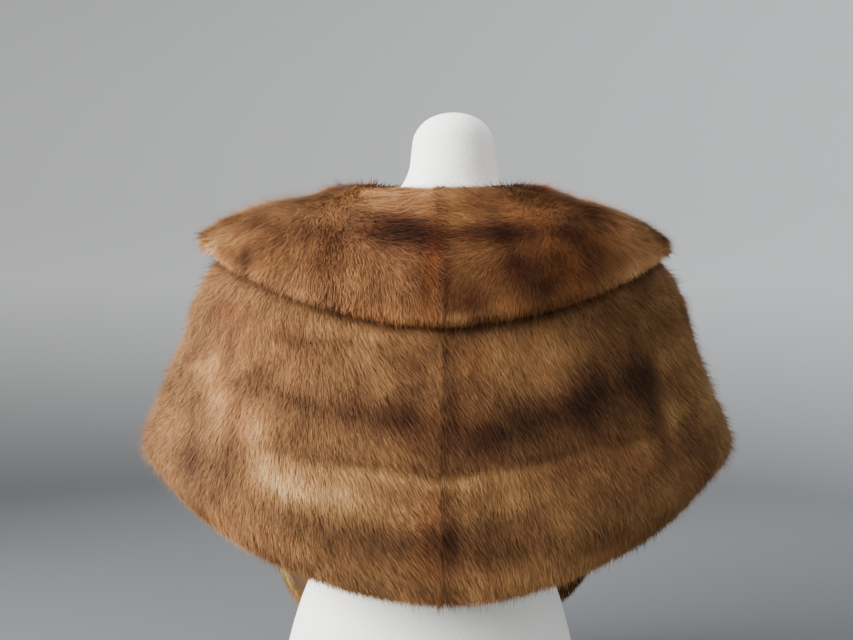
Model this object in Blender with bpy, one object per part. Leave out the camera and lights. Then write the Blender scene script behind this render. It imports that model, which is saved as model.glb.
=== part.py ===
# Fur cape with a wide turned-down collar, on a limbless dress form.
# Metres, +Z up. The wearer's back faces -Y and the front opening faces +Y.
# The origin is the middle of the form's flat base, on the floor.

import math
from collections import namedtuple

import bmesh
import bpy
from mathutils import Vector

# Driving sizes

SEAM_GAP = 0.0003
PELT_WALL = 0.015          # skin, lining and fur pile of the body
COLLAR_STAND_WALL = 0.010  # where the collar turns at the neck
COLLAR_FALL_WALL = 0.017   # where it lies over the shoulders
COLLAR_CLEARANCE = 0.0015  # under the collar's fall
FRONT_EDGE_TURN = math.radians(172.5)
SIDE_SEAM_TURN = math.radians(104)
YOKE_SEAM_DROP = 0.40
ROW_SEAM_DROP = 0.72
SEAM_DIP = 0.0025          # the pile parts this deep along a seam
SEAM_DIP_REACH = 0.014
CAPE_LENGTH = 0.50         # about, from the neckline to the hem
HEM_BULGE = 0.006
FRONT_EDGE_BULGE = 0.005
BACK_RISE = 1.8            # how the hem climbs from the back seam to the arm
SQUARE_BACK = 0.025        # how far the plan is fuller than an ellipse at its corners

# The two halves differ: how much longer each front end hangs than the table
# says, and how much wider each half of the hem swings out.
FRONT_END_EXTRA = {-1: 0.012, 1: -0.008}
HEM_SWING = {-1: 0.010, 1: 0.000}

# The outer fur surface, one ring for each height. drop runs from the neckline
# to the hem. side and fore are half widths at the arm and in front. Each ring
# has its own height at the back, the arm and the front, and comes down from
# arm to front between two turns, in degrees.
Ring = namedtuple("Ring", "drop side fore back front z_back z_side z_front leaves arrives")
CAPE_RINGS = (
    Ring(0.00, 0.118, 0.118, 0.080, 0.112, 0.606, 0.617, 0.556, 82, 162),
    Ring(0.10, 0.160, 0.160, 0.104, 0.130, 0.592, 0.606, 0.536, 82, 162),
    Ring(0.20, 0.207, 0.207, 0.127, 0.146, 0.567, 0.588, 0.509, 82, 161),
    Ring(0.30, 0.253, 0.253, 0.143, 0.157, 0.532, 0.559, 0.473, 84, 160),
    Ring(0.40, 0.286, 0.286, 0.153, 0.164, 0.486, 0.519, 0.427, 88, 158),
    Ring(0.55, 0.305, 0.305, 0.160, 0.169, 0.413, 0.458, 0.350, 102, 155),
    Ring(0.72, 0.328, 0.326, 0.166, 0.172, 0.327, 0.397, 0.254, 114, 151),
    Ring(0.88, 0.346, 0.337, 0.169, 0.173, 0.245, 0.338, 0.160, 121, 149),
    Ring(1.00, 0.319, 0.333, 0.166, 0.168, 0.190, 0.302, 0.092, 122, 149),
)
FORE_FROM, FORE_TO = 92, 122   # where the half width passes from side to fore

# Soft troughs that run down the cape. side is -1 or 1.
Fold = namedtuple("Fold", "side turn spread depth drop drop_spread")
FOLDS = (
    Fold(-1, 55, 8, 0.0090, 0.55, 0.20),
    Fold(-1, 78, 7, 0.0050, 0.50, 0.12),
    Fold(-1, 112, 9, 0.0080, 0.75, 0.22),
    Fold(-1, 146, 9, 0.0050, 0.70, 0.25),
    Fold(1, 52, 8, 0.0080, 0.62, 0.22),
    Fold(1, 80, 7, 0.0045, 0.66, 0.15),
    Fold(1, 110, 9, 0.0085, 0.72, 0.22),
    Fold(1, 144, 9, 0.0055, 0.74, 0.25),
)

# The collar's edge, measured down the cape from the neckline, how far the
# edge lifts off the cape, and how far the fall puffs up behind it. The right
# half lies flatter than the left.
COLLAR_FULLNESS = {-1: 1.0, 1: 0.45}
CollarEdge = namedtuple("CollarEdge", "turn reach lift puff")
COLLAR_EDGES = (
    CollarEdge(0, 0.154, 0.0000, 0.0000),
    CollarEdge(25, 0.153, 0.0000, 0.0010),
    CollarEdge(50, 0.152, 0.0020, 0.0040),
    CollarEdge(70, 0.153, 0.0120, 0.0070),
    CollarEdge(88, 0.156, 0.0210, 0.0080),
    CollarEdge(108, 0.152, 0.0140, 0.0070),
    CollarEdge(130, 0.134, 0.0050, 0.0040),
    CollarEdge(155, 0.108, 0.0015, 0.0020),
    CollarEdge(180, 0.085, 0.0000, 0.0000),
)

# The collar's middle line at the turn: along the cape from the neckline, and
# out from the cape's fur.
CollarTurn = namedtuple("CollarTurn", "along out")
COLLAR_TURN = (
    CollarTurn(-0.0003, -0.0072),
    CollarTurn(-0.0060, -0.0072),
    CollarTurn(-0.0118, -0.0030),
    CollarTurn(-0.0128, 0.0050),
    CollarTurn(-0.0090, 0.0128),
    CollarTurn(0.0000, 0.0168),
    CollarTurn(0.0110, 0.0160),
    CollarTurn(0.0260, 0.0128),
)

# The dress form, floor to neck. shift is the section's place to the side.
FormRing = namedtuple("FormRing", "z half_width back front shift")
FORM_RINGS = (
    FormRing(0.000, 0.171, 0.112, 0.098, -0.010),
    FormRing(0.006, 0.176, 0.116, 0.102, -0.010),
    FormRing(0.050, 0.176, 0.117, 0.104, -0.010),
    FormRing(0.100, 0.168, 0.113, 0.102, -0.010),
    FormRing(0.150, 0.154, 0.104, 0.097, -0.009),
    FormRing(0.200, 0.135, 0.093, 0.090, -0.008),
    FormRing(0.245, 0.124, 0.086, 0.088, -0.006),
    FormRing(0.300, 0.131, 0.086, 0.094, -0.003),
    FormRing(0.360, 0.146, 0.091, 0.108, 0.000),
    FormRing(0.410, 0.158, 0.096, 0.124, 0.003),
    FormRing(0.460, 0.165, 0.099, 0.116, 0.006),
    FormRing(0.510, 0.173, 0.099, 0.094, 0.004),
    FormRing(0.540, 0.183, 0.091, 0.074, 0.003),
    FormRing(0.558, 0.178, 0.082, 0.062, 0.001),
    FormRing(0.571, 0.162, 0.073, 0.054, -0.001),
    FormRing(0.584, 0.1333, 0.066, 0.051, -0.0005),
    FormRing(0.598, 0.1053, 0.061, 0.050, 0.0025),
    FormRing(0.618, 0.078, 0.056, 0.050, 0.011),
    FormRing(0.642, 0.060, 0.051, 0.051, 0.016),
    FormRing(0.662, 0.053, 0.049, 0.050, 0.018),
    FormRing(0.682, 0.0505, 0.047, 0.049, 0.018),
    FormRing(0.702, 0.0470, 0.044, 0.046, 0.018),
    FormRing(0.7175, 0.0356, 0.034, 0.035, 0.018),
    FormRing(0.7260, 0.0190, 0.018, 0.018, 0.018),
)
FORM_TOP = 0.7290
FORM_SIDES = 36
NECK_FORWARD = 0.006       # the neck stands this far ahead of the shoulders
NECK_FROM, NECK_TO = 0.50, 0.66

# Facets

BODY_COLUMNS_BACK = 16
BODY_COLUMNS_FRONT = 11
COLLAR_FALL_STEPS = 6
ROUND_STEPS = 3
END_ROUNDING = (38, 72)    # degrees round a piece's end
SOFT_EDGE = 50             # degrees between faces that are still shaded smooth
NORMAL_STEP = 0.004
LENGTH_STEPS = 40

FUR_BROWN = (0.30, 0.135, 0.050)
FUR_GOLD = (0.42, 0.215, 0.085)
FORM_WHITE = (0.80, 0.80, 0.76)
FUR_ROUGHNESS = 0.6
FORM_ROUGHNESS = 0.7


# Interpolation


def smooth_step(low, high, value):
    """0 below low, 1 above high, and an even slope between."""
    share = min(1.0, max(0.0, (value - low) / (high - low)))
    return share * share * (3 - 2 * share)


def slope_at(keys, values, index):
    """The slope of the curve through a table's rows at one row."""
    before, after = max(index - 1, 0), min(index + 1, len(keys) - 1)
    return (values[after] - values[before]) / (keys[after] - keys[before])


def between(rows, key, at):
    """A row of the table, worked out at any value of its key column."""
    keys = [getattr(row, key) for row in rows]
    last = max(i for i in range(len(keys) - 1) if keys[i] <= at or i == 0)
    span = keys[last + 1] - keys[last]
    t = (at - keys[last]) / span
    found = []
    for column in zip(*rows):
        start, end = column[last], column[last + 1]
        leave = slope_at(keys, column, last) * span
        arrive = slope_at(keys, column, last + 1) * span
        found.append(
            start * (2 * t**3 - 3 * t**2 + 1)
            + leave * (t**3 - 2 * t**2 + t)
            + end * (3 * t**2 - 2 * t**3)
            + arrive * (t**3 - t**2)
        )
    return type(rows[0])(*found)


# The cape's surface


def height_at(ring, side, turn):
    """The ring's height at an angle: back to arm, then arm to front."""
    rise = math.sin(min(turn, math.pi / 2)) ** BACK_RISE
    fall = smooth_step(ring.leaves, ring.arrives, math.degrees(turn))
    z_front = ring.z_front - FRONT_END_EXTRA[side] * ring.drop
    at_arm = ring.z_back + (ring.z_side - ring.z_back) * rise
    return at_arm + (z_front - ring.z_side) * fall


def fold_depth(side, turn, drop):
    """How far the troughs draw the cape in at this place."""
    depth = 0.0
    for fold in FOLDS:
        if fold.side == side:
            across = (math.degrees(turn) - fold.turn) / fold.spread
            down = (drop - fold.drop) / fold.drop_spread
            depth += fold.depth * math.exp(-across * across - down * down)
    return depth


def cape_point(side, turn, drop):
    """A point of the outer fur, turn from the back seam and drop from the neckline."""
    ring = between(CAPE_RINGS, "drop", drop)
    fuller = 1 + SQUARE_BACK * math.sin(2 * turn) ** 2
    depth = ring.back if turn <= math.pi / 2 else ring.front
    width = ring.side + (ring.fore - ring.side) * smooth_step(FORE_FROM, FORE_TO, math.degrees(turn))
    width += HEM_SWING[side] * drop**6
    outward = Vector((math.sin(turn) * depth, -math.cos(turn) * width, 0)).normalized()
    point = Vector(
        (width * math.sin(turn) * fuller, -depth * math.cos(turn) * fuller, height_at(ring, side, turn))
    )
    point -= outward * fold_depth(side, turn, drop)
    point.x *= side
    return point


def down_at(side, turn, drop):
    """The direction down the cape, along its surface."""
    above = cape_point(side, turn, drop - NORMAL_STEP)
    below = cape_point(side, turn, drop + NORMAL_STEP)
    return (below - above).normalized()


def normal_at(side, turn, drop):
    """The direction out of the fur. On the back seam it has no sideways part."""
    before = cape_point(side, max(turn - NORMAL_STEP, 0), drop)
    after = cape_point(side, turn + NORMAL_STEP, drop)
    normal = (after - before).cross(down_at(side, turn, drop)) * -side
    if turn < NORMAL_STEP:
        normal.x = 0
    return normal.normalized()


def drop_after(side, turn, length):
    """The drop that lies this length down the cape from its neckline."""
    if length <= 0:
        return 0.0
    walked, here = 0.0, cape_point(side, turn, 0)
    for step in range(1, LENGTH_STEPS + 1):
        drop = step / LENGTH_STEPS
        there = cape_point(side, turn, drop)
        stride = (there - here).length
        if walked + stride >= length:
            return drop - (walked + stride - length) / stride / LENGTH_STEPS
        walked, here = walked + stride, there
    return 1.0


# Solids from sections


def closed_section(outer, inner, bulge, outward_end):
    """A closed loop down the outer points, round the end, and back up the inner ones."""
    middle = (outer[-1] + inner[-1]) / 2
    half = outer[-1] - middle
    rounding = []
    for step in range(1, ROUND_STEPS + 1) if bulge else ():
        angle = math.pi * step / (ROUND_STEPS + 1)
        rounding.append(middle + half * math.cos(angle) + outward_end * (bulge * math.sin(angle)))
    return outer + rounding + inner[::-1]


def rounded_ends(section, direction, bulge):
    """Smaller copies of a section that round off the piece's end."""
    pairs = [(section[k] + section[-1 - k]) / 2 for k in range(len(section))]
    ends = []
    for angle in map(math.radians, END_ROUNDING):
        moved = direction * (bulge * math.sin(angle))
        ends.append([m + (p - m) * math.cos(angle) + moved for p, m in zip(section, pairs)])
    return ends


def add_cap(bm, loop):
    """Closes an end with a ladder of faces between its two sides."""
    count = len(loop)
    faces = []
    for k in range((count - 1) // 2):
        corners = [loop[k], loop[k + 1], loop[count - 2 - k], loop[count - 1 - k]]
        unique = list(dict.fromkeys(corners))
        if len(unique) > 2:
            faces.append(bm.faces.new(unique))
    return faces


def loft(name, sections, material):
    """One closed solid through a list of like sections, placed as an object."""
    bm = bmesh.new()
    loops = [[bm.verts.new(point) for point in section] for section in sections]
    seam_faces = add_cap(bm, loops[0]) + add_cap(bm, loops[-1])
    lower_edge = len(loops[0]) // 2 - 1
    for near, far in zip(loops, loops[1:]):
        for k, corner in enumerate(near):
            after = (k + 1) % len(near)
            corners = [corner, near[after], far[after], far[k]]
            if after == 0:
                seam_faces.append(bm.faces.new(corners[1:] + corners[:1]))
            elif k == lower_edge:
                seam_faces.append(bm.faces.new(corners))
            else:
                bm.faces.new(corners)
    # Faces that meet a neighbour are split the same way on both pieces
    bmesh.ops.triangulate(bm, faces=seam_faces, quad_method="FIXED")
    bmesh.ops.triangulate(bm, faces=[face for face in bm.faces if len(face.verts) > 3])
    bmesh.ops.recalc_face_normals(bm, faces=bm.faces)
    return place(name, bm, material)


def place(name, bm, material):
    """Makes the object of a bmesh and shades its soft edges smooth."""
    mesh = bpy.data.meshes.new(name)
    bm.to_mesh(mesh)
    bm.free()
    mesh.shade_smooth()
    mesh.set_sharp_from_angle(angle=math.radians(SOFT_EDGE))
    mesh.materials.append(material)
    obj = bpy.data.objects.new(name, mesh)
    bpy.context.scene.collection.objects.link(obj)
    return obj


def finish(name, colour, roughness):
    """A plain material in one colour."""
    material = bpy.data.materials.new(name)
    material.use_nodes = True
    shader = material.node_tree.nodes["Principled BSDF"]
    shader.inputs["Base Color"].default_value = (*colour, 1)
    shader.inputs["Roughness"].default_value = roughness
    shader.inputs["Metallic"].default_value = 0.0
    return material


# The cape's pieces


def spaced(start, end, steps):
    """Even steps from start to end, both included."""
    return [start + (end - start) * k / steps for k in range(steps + 1)]


def body_section(side, turn, drops, seam_above, seam_below):
    """A section of a body pelt at one angle, from its upper edge to its lower."""
    outer, inner = [], []
    for index, drop in enumerate(drops):
        down = down_at(side, turn, drop)
        normal = normal_at(side, turn, drop)
        point = cape_point(side, turn, drop)
        if index == 0 and seam_above:
            point += down * (SEAM_GAP / 2)
        if index == len(drops) - 1 and seam_below:
            point -= down * (SEAM_GAP / 2)
        at_seam = (index == 0 and seam_above) or (index == len(drops) - 1 and seam_below)
        dip = SEAM_DIP if at_seam else 0.0
        outer.append(point - normal * dip)
        inner.append(point - normal * PELT_WALL)
    bulge = 0.0 if seam_below else HEM_BULGE
    return closed_section(outer, inner, bulge, down_at(side, turn, drops[-1]))


def pelt(name, side, turns, drops, material, seams):
    """A body pelt between two angles. seams names the edges that meet a neighbour."""
    sections = []
    for index, turn in enumerate(turns):
        section = body_section(side, turn, drops, "above" in seams, "below" in seams)
        across = cape_point(side, turn + NORMAL_STEP, drops[0]) - cape_point(side, turn, drops[0])
        across = Vector((across.x, across.y, 0)).normalized()
        if index == 0:
            section = [point + across * (SEAM_GAP / 2) for point in section]
        if index == len(turns) - 1 and "front" in seams:
            section = [point - across * (SEAM_GAP / 2) for point in section]
        sections.append(section)
    if "front" not in seams:
        sections += rounded_ends(sections[-1], across, FRONT_EDGE_BULGE)
    return loft(name, sections, material)


def pelt_drops(upper, lower, steps, seams):
    """Drops from a pelt's upper to its lower edge, with a close row beside each edge."""
    beside = SEAM_DIP_REACH / CAPE_LENGTH
    inside = spaced(upper + beside, lower - beside, steps)
    if "above" not in seams:
        inside[0] = upper + (inside[1] - upper) / 2
    return [upper] + inside + [lower]


def build_half(side, label, brown, gold):
    """One half of the cape: yoke, upper row, lower row, front end and collar."""
    back = spaced(0.0, SIDE_SEAM_TURN, BODY_COLUMNS_BACK)
    front = spaced(SIDE_SEAM_TURN, FRONT_EDGE_TURN, BODY_COLUMNS_FRONT)
    whole = back + front[1:]
    rows = (
        ("yoke", 0.0, YOKE_SEAM_DROP, 4, {"below"}),
        ("upper_row", YOKE_SEAM_DROP, ROW_SEAM_DROP, 3, {"above", "below"}),
    )
    for row, upper, lower, steps, seams in rows:
        drops = pelt_drops(upper, lower, steps, seams)
        pelt(f"{row}_{label}", side, whole, drops, brown, seams)
    drops = pelt_drops(ROW_SEAM_DROP, 1.0, 3, {"above"})
    pelt(f"lower_row_{label}", side, back, drops, gold, {"above", "front"})
    pelt(f"front_end_{label}", side, front, drops, gold, {"above"})
    build_collar(side, label, whole, brown)


def collar_line(side, turn):
    """The collar's middle line at one angle: its points and half thicknesses."""
    edge = between(COLLAR_EDGES, "turn", math.degrees(turn))
    half_fall = COLLAR_FALL_WALL / 2
    rows = [(row.along, row.out) for row in COLLAR_TURN]
    last = rows[-1][0]
    for step in range(1, COLLAR_FALL_STEPS + 1):
        share = step / COLLAR_FALL_STEPS
        along = last + (edge.reach - last) * share
        raised = (edge.lift * share**2 + edge.puff * math.sin(math.pi * share)) * COLLAR_FULLNESS[side]
        rows.append((along, half_fall + COLLAR_CLEARANCE + raised))
    points, halves = [], []
    for index, (along, out) in enumerate(rows):
        drop = drop_after(side, turn, along)
        point = cape_point(side, turn, drop) + normal_at(side, turn, drop) * out
        if along < 0:
            point += down_at(side, turn, 0.0) * along
        points.append(point)
        grown = smooth_step(0, len(COLLAR_TURN), index)
        halves.append((COLLAR_STAND_WALL + (COLLAR_FALL_WALL - COLLAR_STAND_WALL) * grown) / 2)
    return points, halves


def collar_section(side, turn):
    """The collar's wall at one angle, from its neck seam over the turn to its edge."""
    points, halves = collar_line(side, turn)
    cape_normal = normal_at(side, turn, 0.0)
    around = down_at(side, turn, 0.0).cross(cape_normal)
    outer, inner = [], []
    for index, (point, half) in enumerate(zip(points, halves)):
        before = points[max(index - 1, 0)]
        after = points[min(index + 1, len(points) - 1)]
        ahead = (after - before).normalized()
        across = around.cross(ahead).normalized()
        outer.append(point + across * half)
        inner.append(point - across * half)
    return closed_section(outer, inner, HEM_BULGE, (points[-1] - points[-2]).normalized())


def build_collar(side, label, turns, material):
    """One half of the collar, from the back seam to its front end."""
    sections = [collar_section(side, turn) for turn in turns]
    sections[0] = [Vector((side * SEAM_GAP / 2, p.y, p.z)) for p in sections[0]]
    last = sections[-1][0] - sections[-2][0]
    last = Vector((last.x, last.y, 0)).normalized()
    sections += rounded_ends(sections[-1], last, FRONT_EDGE_BULGE)
    return loft(f"collar_{label}", sections, material)


def build_form(material):
    """The limbless dress form: a flat base, hips, waist, chest, shoulders and a domed neck."""
    bm = bmesh.new()
    loops = []
    for ring in FORM_RINGS:
        ahead = NECK_FORWARD * smooth_step(NECK_FROM, NECK_TO, ring.z)
        loop = []
        for k in range(FORM_SIDES):
            angle = 2 * math.pi * k / FORM_SIDES
            depth = ring.front if math.sin(angle) > 0 else ring.back
            x = ring.shift + ring.half_width * math.cos(angle)
            loop.append(bm.verts.new((x, ahead + depth * math.sin(angle), ring.z)))
        loops.append(loop)
    for near, far in zip(loops, loops[1:]):
        for k in range(FORM_SIDES):
            after = (k + 1) % FORM_SIDES
            bm.faces.new((near[k], near[after], far[after], far[k]))
    top = bm.verts.new((FORM_RINGS[-1].shift, NECK_FORWARD, FORM_TOP))
    for k in range(FORM_SIDES):
        bm.faces.new((loops[-1][k], loops[-1][(k + 1) % FORM_SIDES], top))
    bm.faces.new(loops[0][::-1])
    bmesh.ops.triangulate(bm, faces=bm.faces)
    bmesh.ops.recalc_face_normals(bm, faces=bm.faces)
    return place("dress_form", bm, material)


def main():
    for old in list(bpy.data.objects):
        bpy.data.objects.remove(old)
    brown = finish("fur_brown", FUR_BROWN, FUR_ROUGHNESS)
    gold = finish("fur_gold", FUR_GOLD, FUR_ROUGHNESS)
    white = finish("form_white", FORM_WHITE, FORM_ROUGHNESS)
    for side, label in ((-1, "left"), (1, "right")):
        build_half(side, label, brown, gold)
    build_form(white)


main()
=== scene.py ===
# Fur cape with a wide turned-down collar, on a limbless dress form.
# Metres, +Z up. The wearer's back faces -Y and the open front faces +Y.
# side is -1 for the wearer's left half, at negative x, and 1 for the right half.

import math

import bpy
import numpy as np
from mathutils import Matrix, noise


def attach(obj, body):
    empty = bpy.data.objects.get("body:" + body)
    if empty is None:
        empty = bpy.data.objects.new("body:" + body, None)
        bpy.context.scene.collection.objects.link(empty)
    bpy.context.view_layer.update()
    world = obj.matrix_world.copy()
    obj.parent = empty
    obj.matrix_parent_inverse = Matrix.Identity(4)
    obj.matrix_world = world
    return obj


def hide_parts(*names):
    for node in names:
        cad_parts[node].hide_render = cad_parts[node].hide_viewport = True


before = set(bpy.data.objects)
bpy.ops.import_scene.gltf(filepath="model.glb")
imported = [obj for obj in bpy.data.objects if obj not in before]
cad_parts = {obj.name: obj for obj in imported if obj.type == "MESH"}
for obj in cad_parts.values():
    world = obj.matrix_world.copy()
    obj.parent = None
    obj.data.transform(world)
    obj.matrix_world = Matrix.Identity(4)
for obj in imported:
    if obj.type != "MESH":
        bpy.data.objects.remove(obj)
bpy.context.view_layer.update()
print("frame loaded")

# Camera, light and stage

view = {
    "place": (-0.0143, -1.10, 0.48),
    "focalPixels": 917,
    "photoWidth": 853,
    "sensorWidth": 36.0,
}

# Each lamp: where it stands, what it looks at, its size, power and colour
lamps = {
    "windowLight": ((-2.0, -0.85, 1.25), (0.0, 0.0, 0.42), 1.2, 215.0, (1.0, 0.985, 0.96)),
    "fillLight": ((1.3, -1.7, 1.1), (0.0, 0.0, 0.40), 1.6, 8.0, (0.97, 0.98, 1.0)),
    "topLight": ((-0.6, 0.1, 2.2), (0.0, 0.0, 0.45), 1.4, 30.0, (0.98, 0.99, 1.0)),
}
surround = {"colour": (0.90, 0.93, 0.96), "strength": 1.08}

# The floor is round and curves up into a backdrop on every side. Each pair of colours is for the left and the
# right, and the floor's blend into the wall's below blendHeight.
# These colours hold painted shade: the left is painted darker than the right, and the floor darker than the
# wall.
sweep = {
    "floorRadius": 1.7,
    "bend": 0.9,
    "bendPoints": 25,
    "height": 2.3,
    "sides": 96,
    "wallPaintedShades": ((0.285, 0.288, 0.290), (0.400, 0.408, 0.420)),
    "floorPaintedShades": ((0.030, 0.032, 0.034), (0.175, 0.184, 0.194)),
    "blendHeight": 0.62,
    "cloudScale": 1.2,
    "cloudShare": 0.1,
    "roughness": 0.9,
}


def placed(name, data):
    # a new object in the scene
    thing = bpy.data.objects.new(name, data)
    bpy.context.scene.collection.objects.link(thing)
    return thing


def addCamera():
    data = bpy.data.cameras.new("camera")
    data.sensor_width = view["sensorWidth"]
    data.lens = view["focalPixels"] / view["photoWidth"] * view["sensorWidth"]
    camera = placed("camera", data)
    camera.location = view["place"]
    camera.rotation_euler = (math.radians(90), 0, 0)
    bpy.context.scene.camera = camera


def addLamps():
    for name, (place, target, size, power, colour) in lamps.items():
        data = bpy.data.lights.new(name, "AREA")
        data.size = size
        data.energy = power
        data.color = colour
        lamp = placed(name, data)
        lamp.location = place
        aim = np.subtract(target, place)
        yaw = math.atan2(aim[1], aim[0]) - math.pi / 2
        pitch = math.atan2(aim[2], math.hypot(aim[0], aim[1])) + math.pi / 2
        lamp.rotation_euler = (pitch, 0, yaw)
    world = bpy.data.worlds.new("surround")
    world.use_nodes = True
    background = world.node_tree.nodes["Background"]
    background.inputs["Color"].default_value = (*surround["colour"], 1)
    background.inputs["Strength"].default_value = surround["strength"]
    bpy.context.scene.world = world


# Node graphs: a wire wraps one output, and sums and products of wires add Math nodes


class Wire:
    def __init__(self, graph, socket):
        self.graph = graph
        self.socket = socket

    def __add__(self, other):
        return self.graph.math("ADD", self, other)

    def __sub__(self, other):
        return self.graph.math("SUBTRACT", self, other)

    def __rsub__(self, other):
        return self.graph.math("SUBTRACT", other, self)

    def __mul__(self, other):
        return self.graph.math("MULTIPLY", self, other)

    def __lt__(self, other):
        return self.graph.math("LESS_THAN", self, other)

    __radd__ = __add__


class Graph:
    def __init__(self, tree):
        self.tree = tree

    def add(self, kind, settings, inputs, output=0):
        # settings come first, because some of them change the sockets
        node = self.tree.nodes.new(kind)
        for name, value in settings.items():
            if name == "stops":
                self.setStops(node.color_ramp, value)
            else:
                setattr(node, name, value)
        for name, value in inputs.items():
            if isinstance(value, Wire):
                self.tree.links.new(value.socket, node.inputs[name])
            else:
                node.inputs[name].default_value = value
        return Wire(self, node.outputs[output])

    def setStops(self, ramp, stops):
        for place, colour in stops[2:]:
            ramp.elements.new(place)
        for element, (place, colour) in zip(ramp.elements, sorted(stops)):
            element.position = place
            element.color = (*colour, 1)

    def math(self, operation, first, second=0.0):
        return self.add("ShaderNodeMath", {"operation": operation}, {0: first, 1: second})

    def vectors(self, operation, first, second):
        return self.add("ShaderNodeVectorMath", {"operation": operation}, {0: first, 1: second})

    def scaled(self, vector, factor):
        return self.add("ShaderNodeVectorMath", {"operation": "SCALE"}, {0: vector, "Scale": factor})

    def unit(self, vector):
        return self.add("ShaderNodeVectorMath", {"operation": "NORMALIZE"}, {0: vector})

    def mixed(self, share, first, second, blend="MIX"):
        # sockets 6 and 7 are the two colours of a Mix node, and output 2 its colour
        settings = {"data_type": "RGBA", "blend_type": blend}
        return self.add("ShaderNodeMix", settings, {0: share, 6: first, 7: second}, 2)

    def attribute(self, name, output="Fac"):
        return self.add("ShaderNodeAttribute", {"attribute_name": name}, {}, output)

    def objectPlace(self):
        return self.add("ShaderNodeTexCoord", {}, {}, "Object")

    def cloud(self, place, scale, detail=2.0):
        return self.add("ShaderNodeTexNoise", {}, {"Vector": place, "Scale": scale, "Detail": detail}, "Fac")

    def clamped(self, value):
        return self.add("ShaderNodeClamp", {}, {"Value": value}, "Result")

    def bump(self, height, strength, distance):
        inputs = {"Height": height, "Strength": strength, "Distance": distance}
        return self.add("ShaderNodeBump", {}, inputs, "Normal")


def newMaterial(name):
    material = bpy.data.materials.new(name)
    material.use_nodes = True
    graph = Graph(material.node_tree)
    shader = material.node_tree.nodes["Principled BSDF"]
    return material, graph, shader


def joinTo(shader, socketName, wire):
    wire.graph.tree.links.new(wire.socket, shader.inputs[socketName])


# Shared maths


def smoothStep(low, high, value):
    share = np.clip((value - low) / (high - low), 0, 1)
    return share * share * (3 - 2 * share)


def tableAt(table, at):
    # a smooth curve through the table's rows, one array for each column
    keys = table[:, 0]
    at = np.asarray(at, float)
    row = np.clip(np.searchsorted(keys, at, side="right") - 1, 0, len(keys) - 2)
    order = np.arange(len(keys))
    before, after = np.maximum(order - 1, 0), np.minimum(order + 1, len(keys) - 1)
    slopes = (table[after] - table[before]) / (keys[after] - keys[before])[:, None]
    span = (keys[row + 1] - keys[row])[..., None]
    t = (at - keys[row])[..., None] / span
    values = table[row] * (2 * t**3 - 3 * t**2 + 1) + table[row + 1] * (3 * t**2 - 2 * t**3)
    values += (slopes[row] * (t**3 - 2 * t**2 + t) + slopes[row + 1] * (t**3 - t**2)) * span
    return np.moveaxis(values, -1, 0)


def unitVectors(vectors):
    return vectors / np.linalg.norm(vectors, axis=-1, keepdims=True)


# The cape's surface. turn goes from the back seam round to the front edge, and
# drop from the neckline to the hem.

cape = {
    "frontEdge": 172.5,            # degrees of turn
    "sideSeam": 104.0,
    "yokeSeam": 0.40,              # drop
    "rowSeam": 0.72,
    "length": 0.50,
    "wall": 0.015,
    "pile": 0.0062,                # depth of the fur over the pelt
    "seamGap": 0.0003,
    "seamDip": 0.0020,
    "seamReach": 0.012,
    "seamSteepness": 3,
    "liningGap": 0.0010,           # the lining stands this far inside the wall's depth
    "edgeInset": 0.0075,           # pelt edges stop short of the ends of the hair
    "hemRound": 0.0030,
    "backRise": 1.8,
    "squareBack": 0.025,
    "frontEndExtra": {-1: 0.012, 1: -0.008},
    "hemSwing": {-1: 0.004, 1: 0.0},
    "hemSwingPower": 6,            # nearly all of it is at the hem
    "foreFrom": 92.0,              # where the front's width starts to take over, and has
    "foreTo": 122.0,
    "frontRadius": 0.17,           # about how far the front edge is from the middle
    "probe": 0.004,                # half the step that a direction is measured over
    "pathPoints": 61,
}

# drop, half width at the arm and in front, depth behind and in front, height at
# the back, the arm and the front, and where the hem leaves the arm and arrives in front
capeRings = np.array([
    (0.00, 0.118, 0.118, 0.080, 0.112, 0.606, 0.617, 0.556, 82, 162),
    (0.10, 0.160, 0.160, 0.104, 0.130, 0.592, 0.606, 0.536, 82, 162),
    (0.20, 0.207, 0.207, 0.127, 0.146, 0.567, 0.588, 0.509, 82, 161),
    (0.30, 0.253, 0.253, 0.143, 0.157, 0.532, 0.559, 0.473, 84, 160),
    (0.40, 0.286, 0.286, 0.153, 0.164, 0.486, 0.519, 0.427, 88, 158),
    (0.55, 0.305, 0.305, 0.160, 0.169, 0.413, 0.458, 0.350, 102, 155),
    (0.72, 0.328, 0.326, 0.166, 0.172, 0.327, 0.397, 0.254, 114, 151),
    (0.88, 0.344, 0.337, 0.169, 0.173, 0.245, 0.338, 0.160, 123, 151),
    (1.00, 0.317, 0.331, 0.166, 0.168, 0.190, 0.302, 0.092, 124, 151),
])

# Soft troughs: side, turn and its spread, depth, drop and its spread
capeFolds = (
    (-1, 55, 8, 0.0090, 0.55, 0.20),
    (-1, 78, 7, 0.0050, 0.50, 0.12),
    (-1, 112, 9, 0.0080, 0.75, 0.22),
    (-1, 146, 9, 0.0050, 0.70, 0.25),
    (1, 52, 8, 0.0080, 0.62, 0.22),
    (1, 80, 7, 0.0045, 0.66, 0.15),
    (1, 110, 9, 0.0085, 0.72, 0.22),
    (1, 144, 9, 0.0055, 0.74, 0.25),
)


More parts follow.
